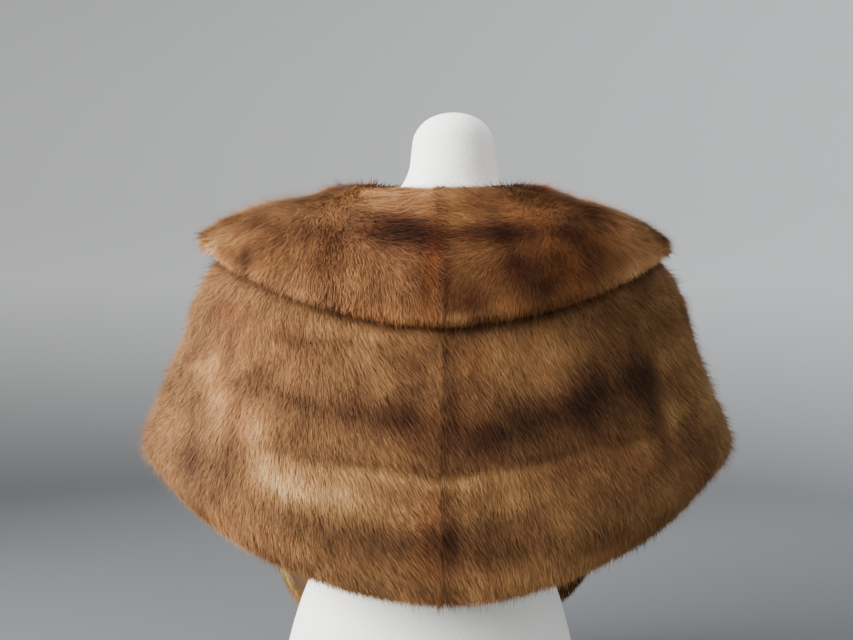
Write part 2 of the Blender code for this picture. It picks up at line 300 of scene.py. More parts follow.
def capePoint(side, turn, drop):
    turn, drop = np.broadcast_arrays(turn, drop)
    degrees = np.degrees(turn)
    (_, arm, fore, back, front, zBack, zSide, zFront, leaves, arrives) = tableAt(capeRings, drop)
    depth = np.where(turn <= math.pi / 2, back, front)
    width = arm + (fore - arm) * smoothStep(cape["foreFrom"], cape["foreTo"], degrees)
    width = width + cape["hemSwing"][side] * drop ** cape["hemSwingPower"]
    fuller = 1 + cape["squareBack"] * np.sin(2 * turn) ** 2
    rise = np.sin(np.clip(turn, 0, math.pi / 2)) ** cape["backRise"]
    fall = smoothStep(leaves, arrives, degrees)
    height = zBack + (zSide - zBack) * rise
    height = height + (zFront - cape["frontEndExtra"][side] * drop - zSide) * fall
    sunk = np.zeros_like(drop, dtype=float)
    for foldSide, foldTurn, spread, foldDepth, foldDrop, dropSpread in capeFolds:
        if foldSide == side:
            across, down = (degrees - foldTurn) / spread, (drop - foldDrop) / dropSpread
            sunk = sunk + foldDepth * np.exp(-across * across - down * down)
    outX, outY = np.sin(turn) * depth, -np.cos(turn) * width
    size = np.hypot(outX, outY)
    x = width * np.sin(turn) * fuller - outX / size * sunk
    y = -depth * np.cos(turn) * fuller - outY / size * sunk
    return np.stack([x * side, y, height], axis=-1)


def downAt(side, turn, drop):
    step = cape["probe"]
    return unitVectors(capePoint(side, turn, drop + step) - capePoint(side, turn, drop - step))


def aroundAt(side, turn, drop):
    # the level direction away from the back seam, along the surface
    step = cape["probe"]
    return unitVectors(capePoint(side, turn + step, drop) - capePoint(side, np.maximum(turn - step, 0), drop))


def normalAt(side, turn, drop):
    normal = np.cross(aroundAt(side, turn, drop), downAt(side, turn, drop)) * -side
    onSeam = np.broadcast_to(turn < cape["probe"], normal.shape[:-1])
    normal[..., 0] = np.where(onSeam, 0, normal[..., 0])
    return unitVectors(normal)


def dropAfter(side, turns, lengths):
    # the drop that lies each length down the cape from its neckline
    drops = np.linspace(0, 1, cape["pathPoints"])
    paths = capePoint(side, turns[:, None], drops[None, :])
    strides = np.linalg.norm(np.diff(paths, axis=1), axis=-1)
    walked = np.concatenate([np.zeros((len(turns), 1)), np.cumsum(strides, axis=1)], axis=1)
    return np.array([np.interp(row, path, drops) for row, path in zip(lengths, walked)])


# A bed is a grid of places on a pelt's outer fur, turns by rows, with what the
# pelt and its hair need there.


def spaced(start, end, step):
    return np.linspace(start, end, max(2, round(abs(end - start) / step) + 1))


def capeBed(side, turns, upper, lower, seams, rowStep):
    inset = 0.0 if "below" in seams else cape["edgeInset"] / cape["length"]
    drops = spaced(upper, lower - inset, rowStep / cape["length"])
    turn, drop = turns[:, None], drops[None, :]
    normal, down = normalAt(side, turn, drop), downAt(side, turn, drop)
    along = (drops - upper) * cape["length"]
    fromBelow = (lower - drops) * cape["length"]
    dip = np.zeros(len(drops))
    for edge, distance in (("above", along), ("below", fromBelow)):
        if edge in seams:
            away = (distance / cape["seamReach"]) ** 2 * cape["seamSteepness"]
            dip = dip + cape["seamDip"] * np.exp(-away)
    top = capePoint(side, turn, drop) - normal * dip[None, :, None]
    half = cape["seamGap"] / 2
    top[:, 0] += down[:, 0] * (half if "above" in seams else 0)
    top[:, -1] -= down[:, -1] * (half if "below" in seams else 0)
    return {
        "side": side,
        "kind": "body",
        "top": top,
        "normal": normal,
        "down": down,
        "around": aroundAt(side, turn, drop),
        "wall": np.full(top.shape[:2], cape["wall"]),
        "turn": np.broadcast_to(np.degrees(turn), top.shape[:2]),
        "row": np.broadcast_to(drop, top.shape[:2]),
        "hemFree": "below" not in seams,
        "frontFree": "front" not in seams,
    }


# The collar stands at the neck seam, turns over and falls over the shoulders

collar = {
    "standWall": 0.010,
    "fallWall": 0.017,
    "clearance": 0.0015,
    "fallSteps": 6,
    "fullness": {-1: 1.0, 1: 0.45},   # the right half lies flatter than the left
    "probe": 0.05,
}

# turn in degrees, reach down the cape, how far the edge lifts, how far the fall puffs
collarEdges = np.array([
    (0, 0.154, 0.0000, 0.0000),
    (25, 0.153, 0.0000, 0.0010),
    (50, 0.152, 0.0020, 0.0040),
    (70, 0.153, 0.0120, 0.0070),
    (88, 0.156, 0.0210, 0.0080),
    (108, 0.152, 0.0140, 0.0070),
    (130, 0.134, 0.0050, 0.0040),
    (155, 0.108, 0.0015, 0.0020),
    (180, 0.085, 0.0000, 0.0000),
])

# the middle of the wall at the turn: along the cape, and out from its fur
collarTurn = (
    (-0.0003, -0.0072), (-0.0060, -0.0072), (-0.0118, -0.0030), (-0.0128, 0.0050),
    (-0.0090, 0.0128), (0.0000, 0.0168), (0.0110, 0.0160), (0.0260, 0.0128),
)


def collarMiddle(side, turns, rows):
    # rows count from the neck seam, as collarTurn and then fallSteps do
    _, reach, lift, puff = tableAt(collarEdges, np.degrees(turns))
    full = collar["fullness"][side]
    share = np.arange(1, collar["fallSteps"] + 1) / collar["fallSteps"]
    turned = np.array(collarTurn)
    order = np.arange(len(turned) + collar["fallSteps"])
    middles = np.empty((len(turns), len(rows), 3))
    for index, (rowReach, rowLift, rowPuff) in enumerate(zip(reach, lift, puff)):
        along = turned[-1, 0] + (rowReach - turned[-1, 0]) * share
        raised = (rowLift * share**2 + rowPuff * np.sin(math.pi * share)) * full
        out = collar["fallWall"] / 2 + collar["clearance"] + raised
        knots = np.concatenate([turned, np.stack([along, out], axis=-1)])
        middles[index] = tableAt(np.column_stack([order, knots]), rows).T
    along, out = middles[..., 1], middles[..., 2]
    drop = dropAfter(side, turns, along)
    turn = turns[:, None]
    points = capePoint(side, turn, drop) + normalAt(side, turn, drop) * out[..., None]
    return points + downAt(side, turn, np.zeros_like(drop)) * np.minimum(along, 0)[..., None]


def collarBed(side, turns, rows):
    middle = collarMiddle(side, turns, rows)
    step = collar["probe"]
    ahead = unitVectors(collarMiddle(side, turns, rows + step) - collarMiddle(side, turns, rows - step))
    turn = turns[:, None]
    neck = np.zeros_like(turn)
    around = np.cross(downAt(side, turn, neck), normalAt(side, turn, neck))
    normal = unitVectors(np.cross(np.broadcast_to(around, ahead.shape), ahead))
    grown = smoothStep(0, len(collarTurn), rows)[None, :]
    wall = collar["standWall"] + (collar["fallWall"] - collar["standWall"]) * grown
    wall = np.broadcast_to(wall, middle.shape[:2])
    strides = np.linalg.norm(np.diff(middle, axis=1), axis=-1)
    walked = np.concatenate([np.zeros((len(turns), 1)), np.cumsum(strides, axis=1)], axis=1)
    top = middle + normal * (wall / 2)[..., None]
    if turns[0] == 0:
        top[0, :, 0] = side * cape["seamGap"] / 2
    return {
        "side": side,
        "kind": "collar",
        "top": top,
        "normal": normal,
        "down": ahead,
        "around": unitVectors(np.cross(ahead, normal) * side),
        "wall": wall,
        "turn": np.broadcast_to(np.degrees(turn), top.shape[:2]),
        "row": walked / (walked[:, -1:] + cape["edgeInset"]),
        "hemFree": True,
        "frontFree": True,
    }


# Colour over the pelts. Each patch: turn (the left half's are below 0), row, their
# spreads, how the row climbs with turn, how much paler or darker, how much redder.

pattern = {
    "tone": {"body": {-1: 0.21, 1: 0.18}, "collar": {-1: 0.13, 1: 0.18}},
    "warmth": {"body": {-1: 0.03, 1: -0.06}, "collar": {-1: 0.14, 1: 0.18}},
    "seed": 5,
    "waverTurn": 4.5,       # how far the stripes stray, in degrees of turn and in rows
    "waverRow": 0.020,
    "waverScale": 17.0,
    "waverFrom": (2, 12),   # degrees of turn, so that none strays over the back seam
    "mottle": {"body": 0.18, "collar": 0.30},
    "mottleScale": 27.0,
    "strayWarmth": 0.20,
    "stripeWidth": 0.055,
    "frontStripe": 0.55,
    "frontFrom": (78, 100),
    "frontRows": {"body": (0.20, 0.56, 0.86), "collar": (0.62,)},
}

bodyPatches = (
    # upper row, left half: two soft brown stripes that fade into pale gold
    (-3, 0.66, 4, 0.050, 0.0, -0.24, 0.10),
    (-9, 0.625, 8, 0.040, 0.0, -0.34, 0.10),
    (-18, 0.61, 7, 0.028, 0.0, -0.22, 0.05),
    (-27, 0.607, 5, 0.024, 0.0, -0.36, 0.05),
    (-37, 0.585, 5, 0.022, 0.0, -0.22, 0.0),
    (-48, 0.53, 3, 0.045, 0.0, -0.36, 0.05),
    (-12, 0.44, 14, 0.020, 0.0, 0.22, 0.0),
    (-30, 0.47, 10, 0.012, 0.0, -0.22, 0.0),
    # the pale fold that runs down from the arm to the seam, and the greyer fur beyond it
    (-57, 0.595, 5, 0.035, 0.0, 0.30, 0.0),
    (-46, 0.635, 6, 0.035, 0.0, 0.32, 0.05),
    (-37, 0.685, 5, 0.035, 0.0, 0.42, 0.05),
    (-32, 0.755, 5, 0.040, 0.0, 0.42, 0.05),
    (-26, 0.79, 7, 0.028, 0.0, 0.36, 0.0),
    (-70, 0.65, 12, 0.400, 0.0, -0.04, -0.20),
    (-88, 0.65, 14, 0.400, 0.0, -0.14, -0.35),
    (-49, 0.79, 6, 0.045, 0.0, -0.38, -0.10),
    (-52, 0.44, 5, 0.030, 0.0, -0.16, 0.35),
    (-43, 0.49, 3, 0.030, 0.0, 0.15, 0.35),
    (-62, 0.585, 2, 0.014, 0.0, 0.45, 0.0),
    (-75, 0.66, 9, 0.040, 0.0, -0.20, 0.10),
    (-85, 0.82, 12, 0.050, 0.0, -0.15, 0.15),
    # upper row, right half: one broad dark band that climbs to the arm
    (8, 0.655, 7, 0.050, 0.0, -0.42, 0.20),
    (20, 0.630, 9, 0.062, 0.0, -0.54, 0.10),
    (32, 0.595, 8, 0.080, 0.0, -0.54, -0.05),
    (41, 0.565, 5, 0.080, 0.0, -0.36, -0.05),
    (18, 0.49, 12, 0.040, 0.0, 0.20, 0.05),
    (43, 0.67, 3, 0.130, 0.0, -0.32, -0.10),
    (51, 0.69, 4, 0.045, 0.0, 0.34, -0.35),
    (58, 0.78, 8, 0.070, 0.0, -0.28, -0.20),
    (42, 0.42, 9, 0.030, 0.0, -0.12, -0.25),
    (68, 0.70, 12, 0.250, 0.0, 0.18, -0.50),
    # the centre back
    (1.6, 0.55, 1.3, 0.160, 0.0, -0.34, 0.10),
    (1.2, 0.86, 1.4, 0.110, 0.0, -0.42, 0.15),
    (5, 0.50, 3, 0.100, 0.0, -0.08, 0.25),
    (0, 0.735, 8, 0.011, 0.0, 0.30, 0.0),
    # the seam between the rows
    (18, 0.722, 18, 0.012, 0.0, 0.30, 0.0),
    (20, 0.703, 18, 0.006, 0.0, -0.22, 0.0),
    (-14, 0.735, 16, 0.013, 0.0, 0.26, 0.0),
    (-14, 0.712, 16, 0.006, 0.0, -0.16, 0.0),
    # lower row, left half
    (-18, 0.80, 16, 0.050, 0.0, 0.28, -0.10),
    (-8, 0.855, 9, 0.040, 0.0, -0.24, -0.20),
    (-23, 0.86, 9, 0.035, 0.0, -0.20, -0.40),
    (-2.5, 0.85, 3, 0.080, 0.0, -0.22, 0.35),
    (-16, 0.965, 14, 0.030, 0.0, -0.12, -0.25),
    # lower row, right half
    (20, 0.765, 14, 0.026, 0.0, 0.14, 0.0),
    (8, 0.82, 5, 0.025, 0.0, -0.24, 0.10),
    (18, 0.88, 9, 0.032, 0.0, -0.22, -0.05),
    (32, 0.84, 6, 0.045, 0.0, -0.30, -0.10),
    (6.5, 0.875, 3.5, 0.030, 0.0, -0.34, 0.30),
    (22, 0.95, 18, 0.040, 0.0, 0.28, -0.05),
    (24, 0.86, 14, 0.050, 0.0, 0.14, -0.05),
    # the front ends' lowest edges, pale on the left and dark on the right
    (-138, 1.0, 18, 0.080, 0.0, 0.70, -0.70),
    (138, 1.0, 18, 0.060, 0.0, -0.45, -0.50),
)

collarPatches = (
    # left half: a brown stripe under the turn, gold above and below it, with painted light on the fringe
    # along the turn and over the shoulder
    (-4, 0.575, 6, 0.070, 0.0, -0.46, 0.30),
    (-12, 0.53, 9, 0.080, 0.0, -0.66, 0.50),
    (-21, 0.47, 7, 0.050, 0.0, -0.32, 0.20),
    (-22, 0.575, 6, 0.035, 0.0, -0.22, 0.25),
    (-34, 0.645, 8, 0.040, 0.0, -0.20, 0.15),
    (-50, 0.71, 7, 0.040, 0.0, -0.20, 0.10),
    # painted light: the standing fringe along the turn, paler as if lit through from behind
    (-25, 0.07, 40, 0.050, 0.0, 0.34, -0.10),
    (-20, 0.26, 22, 0.090, 0.0, 0.50, 0.0),
    (-44, 0.42, 8, 0.080, 0.0, 0.26, 0.05),
    (-14, 0.82, 5, 0.060, 0.0, 0.10, 0.05),
    (-27, 0.81, 4, 0.060, 0.0, -0.14, 0.10),
    (-36, 0.78, 4, 0.050, 0.0, 0.16, 0.0),
    (-14, 0.955, 6, 0.030, 0.0, 0.30, 0.35),
    (-38, 0.985, 20, 0.020, 0.0, 0.42, -0.10),
    (-48, 0.925, 3, 0.024, 0.0125, -0.60, -0.10),
    (-67, 0.93, 9, 0.120, 0.0, 0.75, 0.0),
    # painted light: paler over the shoulder, where the locks shade each other
    (-86, 0.55, 16, 0.600, 0.0, 0.40, -0.25),
    # the centre back: a reddish ridge, and the dark parting beside it
    (-2.6, 0.70, 3.0, 0.300, 0.0, -0.14, 0.60),
    (1.4, 0.60, 1.3, 0.450, 0.0, -0.50, 0.10),
    (3.2, 0.985, 2.2, 0.022, 0.0, 0.80, -0.10),
    # right half, with painted light on the fringe along the turn and over the shoulder
    (7, 0.57, 5, 0.055, 0.0, -0.42, 0.15),
    (17, 0.59, 7, 0.055, 0.0, -0.48, 0.15),
    (32, 0.625, 8, 0.050, 0.0, -0.34, 0.25),
    (42, 0.69, 6, 0.050, 0.0, -0.20, 0.25),
    (30, 0.80, 20, 0.200, 0.0, -0.14, 0.30),
    (40, 0.50, 14, 0.100, 0.0, 0.30, 0.25),
    # painted light: the standing fringe along the turn, paler as if lit through from behind
    (25, 0.07, 40, 0.050, 0.0, 0.34, -0.15),
    (7, 0.30, 5, 0.070, 0.0, 0.26, -0.25),
    (18, 0.735, 2.5, 0.055, 0.0, -0.30, 0.20),
    (26, 0.78, 2.5, 0.055, 0.0, -0.30, 0.20),
    (21, 0.89, 2.5, 0.050, 0.0, -0.22, 0.20),
    (12, 0.815, 5, 0.060, 0.0, 0.18, 0.20),
    (30, 0.86, 4, 0.075, 0.0, 0.14, 0.20),
    (6, 0.89, 4, 0.060, 0.0, -0.14, 0.30),
    (58, 0.86, 11, 0.200, 0.0, 0.64, 0.15),
    # painted light: paler over the shoulder, where the locks shade each other
    (84, 0.55, 16, 0.600, 0.0, 0.30, -0.15),
    (38, 0.985, 8, 0.026, 0.0, 0.45, 0.0),
    (49, 0.97, 5, 0.040, 0.0, 0.56, -0.15),
    (14, 0.99, 10, 0.016, 0.0, 0.50, 0.0),
    (5, 0.98, 2, 0.026, 0.0, 0.45, -0.20),
)


def noiseAt(points, scale):
    noise.seed_set(pattern["seed"])   # without it, each run gives another cloud
    flat = (points * scale).reshape(-1, 3).tolist()
    return np.array([tuple(noise.noise_vector(point)) for point in flat]).reshape(points.shape)


def furColour(bed):
    # how pale and how red the fur is at each place of a bed
    kind, side = bed["kind"], bed["side"]
    stray = noiseAt(bed["top"], pattern["waverScale"])
    waver = stray[..., 0] * pattern["waverTurn"] * smoothStep(*pattern["waverFrom"], bed["turn"])
    signed = bed["turn"] * side + waver
    row = bed["row"] + stray[..., 1] * pattern["waverRow"]
    mottle = noiseAt(bed["top"], pattern["mottleScale"])[..., 0]
    tone = pattern["tone"][kind][side] + mottle * pattern["mottle"][kind]
    warmth = stray[..., 2] * pattern["strayWarmth"] + pattern["warmth"][kind][side]
    patches = bodyPatches if kind == "body" else collarPatches
    for turn, place, turnSpread, rowSpread, climb, paler, redder in patches:
        across = (signed - turn) / turnSpread
        down = (row - place - climb * (signed - turn)) / rowSpread
        share = np.exp(-across * across - down * down)
        tone, warmth = tone + paler * share, warmth + redder * share
    # round the front, each row of pelts keeps a plain dark stripe along its middle
    front = smoothStep(*pattern["frontFrom"], bed["turn"]) * pattern["frontStripe"]
    for middle in pattern["frontRows"][kind]:
        tone = tone - front * np.exp(-(((row - middle) / pattern["stripeWidth"]) ** 2))
    return tone, warmth


# Which way the hair lies: degrees that it slants from straight down, away from the
# back seam. On the left half beside the seam it slants towards the seam.

lay = {
    "bodyTurns": (-172, -90, -60, -35, -15, -4, -0.01, 0.01, 4, 10, 40, 60, 172),
    "bodySlants": (8, 14, 12, -4, -30, -38, -25, 26, 26, 14, 12, 18, 8),
    "collarRows": (0.0, 0.25, 0.42, 0.62, 0.80, 1.0),
    "collarSlants": (150, 128, 108, 82, 42, 12),
    # how much of that slant is left, by turn: over the shoulders it lies down the fall
    "collarTurns": (
        -172, -100, -76, -58, -46, -34, -22, -10, -3, -0.01,
        0.01, 12, 22, 34, 46, 58, 76, 100, 172,
    ),
    "collarShares": (
        0.3, 0.0, -0.20, 0.05, 0.30, 0.55, 0.78, 0.88, 0.55, 0.5,
        0.9, 0.95, 0.80, 0.56, 0.30, 0.05, -0.20, 0.0, 0.3,
    ),
}


def hairFlow(bed):
    signed = bed["turn"] * bed["side"]
    if bed["kind"] == "body":
        slant = np.interp(signed, lay["bodyTurns"], lay["bodySlants"])
    else:
        slant = np.interp(bed["row"], lay["collarRows"], lay["collarSlants"])
        slant = slant * np.interp(signed, lay["collarTurns"], lay["collarShares"])
    slant = np.radians(slant)[..., None]
    return unitVectors(bed["down"] * np.cos(slant) + bed["around"] * np.sin(slant))


# A pelt is a closed skin through its bed: fur side out, round each free edge, lining in

pelts = {
    "columnStep": {"skin": 2.4, "fur": 1.2},   # degrees of turn
    "rowStep": {"skin": 0.012, "fur": 0.005},
    "rowsRoundTurn": {"skin": 8, "fur": 20},   # of the collar
    "edgeAngles": (22.5, 45, 67.5, 90, 112.5, 135, 157.5),
    "frontAngles": (18, 36, 54, 72),
    "turnedIn": 0.010,                         # fur turned in behind a free edge
    "turnedInShare": 0.7,
    "thinFrom": (95, 125),                     # degrees of turn where fur thins to the front
    "hiddenShare": 0.10,                       # fur left under the collar
    "hiddenFrom": (0.03, 0.07),                # drop above the collar's edge
    "hiddenLength": 0.55,
    "shorterFrom": (0.0, 0.04),
    "turnRise": 0.90,                          # hair stands up where the collar turns over
    "turnFrom": (0.02, 0.06),                  # rows of the collar
    "turnTo": (0.145, 0.105),
    "tuftRise": 0.50,                          # more so at its back seam
    "tuftLonger": 0.40,
    "tuftSpread": 3,
    "sideRise": 0.28,                          # and along the arms
    "sideFrom": (62, 74),
    "sideTo": (96, 82),
    "gapPaintedShadow": {-1: 0.50, 1: 0.75},           # painted shadow: how much darker the fur is painted in the gap under the collar's edge
    "gapPlace": 0.002,
    "gapSpread": 0.011,
}


def peltSkin(name, bed, furOnly):
    side, turn = bed["side"], bed["turn"]
    tone, warmth = furColour(bed)
    flow = hairFlow(bed)
    pile = cape["pile"] * bed["wall"] / cape["wall"]
    outer = bed["top"] - bed["normal"] * pile[..., None]
    inner = bed["top"] - bed["normal"] * (bed["wall"] - cape["liningGap"])[..., None]
    middle, half = (outer[:, -1] + inner[:, -1]) / 2, (outer[:, -1] - inner[:, -1]) / 2
    # each field of the section: the fur side, then round the hem
    places, outward = [outer], [bed["normal"]]
    cover = 1 - (1 - fur["frontShare"]) * smoothStep(*pelts["thinFrom"], turn)
    size = np.ones(tone.shape)
    if bed["kind"] == "body":
        reach = tableAt(collarEdges, turn[:, 0])[1]
        under = dropAfter(side, np.radians(turn[:, 0]), reach[:, None]) - bed["row"]
        hidden = smoothStep(*pelts["hiddenFrom"], under)
        cover = cover * (1 - (1 - pelts["hiddenShare"]) * hidden)
        size = 1 - (1 - pelts["hiddenLength"]) * smoothStep(*pelts["shorterFrom"], under)
        # painted shadow: the fur just below the collar's edge is painted darker, more on the right
        away = (under + pelts["gapPlace"]) / pelts["gapSpread"]
        tone = tone - pelts["gapPaintedShadow"][side] * np.exp(-(away**2))
    rise = pelts["sideRise"] * smoothStep(*pelts["sideFrom"], turn) * smoothStep(*pelts["sideTo"], turn)
    if bed["kind"] == "collar":
        turned = smoothStep(*pelts["turnFrom"], bed["row"]) * smoothStep(*pelts["turnTo"], bed["row"])
        rise = rise * (1 - turned) + pelts["turnRise"] * turned
        tuft = turned * np.exp(-((turn / pelts["tuftSpread"]) ** 2))
        rise = rise + pelts["tuftRise"] * tuft
        size = size + pelts["tuftLonger"] * tuft
    edgeCover = cover[:, -1:]
    cover, rounds = [cover], 0
    for angle in np.radians(pelts["edgeAngles"]) if bed["hemFree"] else ():
        down = bed["down"][:, -1]
        edge = middle + half * math.cos(angle) + down * cape["hemRound"] * math.sin(angle)
        places.append(edge[:, None])
        outward.append((bed["normal"][:, -1] * math.cos(angle) + down * math.sin(angle))[:, None])
        cover.append(edgeCover)
        rounds += 1
    if bed["hemFree"] and furOnly:
        # the fur goes a little way up behind the hem
        back = inner[:, -1] - bed["down"][:, -1] * pelts["turnedIn"]
        places += [inner[:, -1:], back[:, None]]
        outward += [-bed["normal"][:, -1:]] * 2
        cover += [edgeCover * pelts["turnedInShare"]] * 2
        rounds += 2

    def section(values):
        # the same value goes on round the hem
        return np.concatenate([values] + [values[:, -1:]] * rounds, axis=1)

    places, outward, cover = (np.concatenate(part, axis=1) for part in (places, outward, cover))
    fields = {
        "flow": section(flow),
        "tone": section(tone),
        "warmth": section(warmth),
        "outward": outward,
        "cover": cover,
        "size": section(size),
        "rise": section(rise),
    }
    if not furOnly:
        places = np.concatenate([places, inner[:, ::-1]], axis=1)
        back = {"flow": flow, "tone": tone, "warmth": warmth, "outward": -bed["normal"]}
        back.update(size=size, rise=rise)
        back["cover"] = np.zeros(size.shape)
        if bed["hemFree"]:
            back["cover"][:, -1] = 1
        for key, values in back.items():
            fields[key] = np.concatenate([fields[key], values[:, ::-1]], axis=1)
    ends = []
    if bed["frontFree"]:
        # smaller copies of the last section round off the front edge
        around = bed["around"][-1, 0] * (1, 1, 0)
        around = around / np.linalg.norm(around)
        last, facing = places[-1], fields["outward"][-1]
        mates = last[::-1]
        if furOnly:
            mates = last.copy()
            mates[:inner.shape[1]] = inner[-1]
        core = (last + mates) / 2
        for angle in np.radians(pelts["frontAngles"]):
            ends.append(core + (last - core) * math.cos(angle) + around * cape["hemRound"] * math.sin(angle))
            swung = facing * math.cos(angle) + around * math.sin(angle)
            for key, values in fields.items():
                extra = swung if key == "outward" else values[-1]
                fields[key] = np.concatenate([values, extra[None]], axis=0)
    grid = np.concatenate([places] + [end[None] for end in ends], axis=0)
    return skinObject(name, grid, fields, side, furOnly)


def skinObject(name, grid, fields, side, furOnly):
    columns, rows = grid.shape[:2]
    corner = np.arange(columns * rows).reshape(columns, rows)
    faces = []
    for row in range(rows - 1 if furOnly else rows):
        after = (row + 1) % rows
        quads = np.stack([corner[:-1, row], corner[:-1, after], corner[1:, after], corner[1:, row]], axis=-1)
        faces.extend((quads if side > 0 else quads[:, ::-1]).tolist())
    if not furOnly:
        for end, turned in ((corner[0], side > 0), (corner[-1], side < 0)):
            for row in range(rows // 2 - 1 + rows % 2):
                loop = [end[row], end[row + 1], end[rows - 2 - row], end[rows - 1 - row]]
                loop = [int(v) for v in dict.fromkeys(loop)]
                faces.append(loop[::-1] if turned else loop)
    mesh = bpy.data.meshes.new(name)
    mesh.from_pydata(grid.reshape(-1, 3).tolist(), [], faces)
    mesh.update()
    for key, values in fields.items():
        kind, part = ("FLOAT_VECTOR", "vector") if values.ndim == 3 else ("FLOAT", "value")
        store = mesh.attributes.new(key, kind, "POINT")
        store.data.foreach_set(part, values.reshape(-1).astype(np.float32))
    mesh.shade_smooth()
    return placed(name, mesh)


# Fur: one blade stands for a lock of a few hairs. The tree scatters them over a
# bed's skin, lays each along the flow and gives it its own length and tint.

fur = {
    "length": 0.0120,
    "width": 0.00062,
    "lift": 14.0,            # degrees off the pelt
    # each lock's own share of its length, width, lift and rise lies between these
    "lengthShares": (0.72, 1.08),
    "widthShares": (0.7, 1.25),
    "liftShares": (0.4, 1.5),
    "riseShares": (0.3, 1.0),
    "rootDepth": 0.0036,     # roots start up to this far above the pelt, as layers
    "guardShare": 0.06,      # long hairs that stand out of the rest
    "guardLift": 0.30,       # radians more than the rest
    "guardLonger": 0.55,
    "guardWider": 0.20,
    "risenLonger": 0.40,
    "risenWider": 2.20,
    "tangles": ((16.0, 0.30), (105.0, 0.26)),   # scale and strength of the bends that locks share
    "looseTangle": 0.16,     # each lock's own bend
    # locks on a square metre of each kind of pelt
    "density": {
        "yoke": 1.15e6, "upper_row": 1.60e6, "lower_row": 1.90e6, "front_end": 1.0e6, "collar": 1.50e6,
    },
    "frontShare": 0.62,      # of that density round the front
    "firstSeed": 11,
    "seedStep": 10,
}


def bladeObject():
    # one long thin triangle, from a broad root to the tip
    corners = [(-0.5, 0, 0), (0.5, 0, 0), (0, 0, 1)]
    mesh = bpy.data.meshes.new("hairBlade")
    mesh.from_pydata(corners, [], [(0, 1, 2)])
    along = mesh.attributes.new("along", "FLOAT", "POINT")
    along.data.foreach_set("value", [corner[2] for corner in corners])
    return placed("hairBlade", mesh)


def furTree():
    tree = bpy.data.node_groups.new("growFur", "GeometryNodeTree")
    graph = Graph(tree)
    sockets = (
        ("Skin", "NodeSocketGeometry"), ("Per square metre", "NodeSocketFloat"), ("Seed", "NodeSocketInt"),
        ("Blade", "NodeSocketObject"), ("Length", "NodeSocketFloat"), ("Width", "NodeSocketFloat"),
        ("Lift", "NodeSocketFloat"), ("Guard share", "NodeSocketFloat"), ("Material", "NodeSocketMaterial"),
    )
    for name, kind in sockets:
        tree.interface.new_socket(name, in_out="INPUT", socket_type=kind)
    tree.interface.new_socket("Fur", in_out="OUTPUT", socket_type="NodeSocketGeometry")
    entry = tree.nodes.new("NodeGroupInput")
    given = {name: Wire(graph, entry.outputs[name]) for name, _ in sockets}

    def named(name, kind="FLOAT"):
        return graph.add("GeometryNodeInputNamedAttribute", {"data_type": kind}, {"Name": name}, "Attribute")

    def chance(low, high, salt):
        sockets = {"Min_001": low, "Max_001": high}
        node = tree.nodes.new("FunctionNodeRandomValue")
        node.data_type = "FLOAT"
        for socket in node.inputs:
            if socket.identifier in sockets:
                socket.default_value = sockets[socket.identifier]
        tree.links.new((given["Seed"] + salt).socket, node.inputs["Seed"])
        return Wire(graph, next(out for out in node.outputs if out.identifier == "Value_001"))

    def tangle(scale, amount):
        place = graph.add("GeometryNodeInputPosition", {}, {})
        cloud = graph.add("ShaderNodeTexNoise", {}, {"Vector": place, "Scale": scale, "Detail": 1.0}, "Color")
        return graph.scaled(graph.vectors("SUBTRACT", cloud, (0.5, 0.5, 0.5)), amount * 2)

    points = graph.add(
        "GeometryNodeDistributePointsOnFaces",
        {"distribute_method": "RANDOM"},
        {"Mesh": given["Skin"], "Density": given["Per square metre"] * named("cover"), "Seed": given["Seed"]},
    )
    strand = chance(0.0, 1.0, 1)
    guard = strand < given["Guard share"]
    flow, outward = named("flow", "FLOAT_VECTOR"), named("outward", "FLOAT_VECTOR")
    lift = given["Lift"] * chance(*fur["liftShares"], 2) + guard * fur["guardLift"]
    lift = lift + named("rise") * chance(*fur["riseShares"], 10)
    heading = graph.vectors(
        "ADD",
        graph.scaled(flow, graph.math("COSINE", lift)),
        graph.scaled(outward, graph.math("SINE", lift)),
    )
    bends = [tangle(scale, amount) for scale, amount in fur["tangles"]]
    loose = fur["looseTangle"]
    own = {axis: chance(-loose, loose, 3 + k) for k, axis in enumerate("XYZ")}
    bends.append(graph.add("ShaderNodeCombineXYZ", {}, own))
    for bend in bends:
        heading = graph.vectors("ADD", heading, bend)
    rotation = graph.add(
        "FunctionNodeAxesToRotation",
        {"primary_axis": "Z", "secondary_axis": "Y"},
        {"Primary Axis": graph.unit(heading), "Secondary Axis": outward},
    )
    # guard hairs are longest and clump together where the fur stands up
    longer = named("rise") * fur["risenLonger"] + fur["guardLonger"]
    wider = named("rise") * fur["risenWider"] + fur["guardWider"]
    length = given["Length"] * named("size") * chance(*fur["lengthShares"], 7) * (1.0 + guard * longer)
    width = given["Width"] * chance(*fur["widthShares"], 8) * (1.0 + guard * wider)
    blade = graph.add("GeometryNodeObjectInfo", {}, {"Object": given["Blade"]}, "Geometry")
    layered = graph.add(
        "GeometryNodeSetPosition",
        {},
        {"Geometry": points, "Offset": graph.scaled(outward, chance(0.0, fur["rootDepth"], 9))},
    )
    locks = graph.add(
        "GeometryNodeInstanceOnPoints",
        {},
        {
            "Points": layered,
            "Instance": blade,
            "Rotation": rotation,
            "Scale": graph.add("ShaderNodeCombineXYZ", {}, {"X": width, "Y": length, "Z": length}),
        },
    )
    tinted = graph.add(
        "GeometryNodeStoreNamedAttribute",
        {"data_type": "FLOAT", "domain": "INSTANCE"},
        {"Geometry": locks, "Name": "strand", "Value": strand},
    )
    real = graph.add("GeometryNodeRealizeInstances", {}, {"Geometry": tinted})
    dressed = graph.add("GeometryNodeSetMaterial", {}, {"Geometry": real, "Material": given["Material"]})
    exit = tree.nodes.new("NodeGroupOutput")
    tree.links.new(dressed.socket, exit.inputs["Fur"])
    return tree


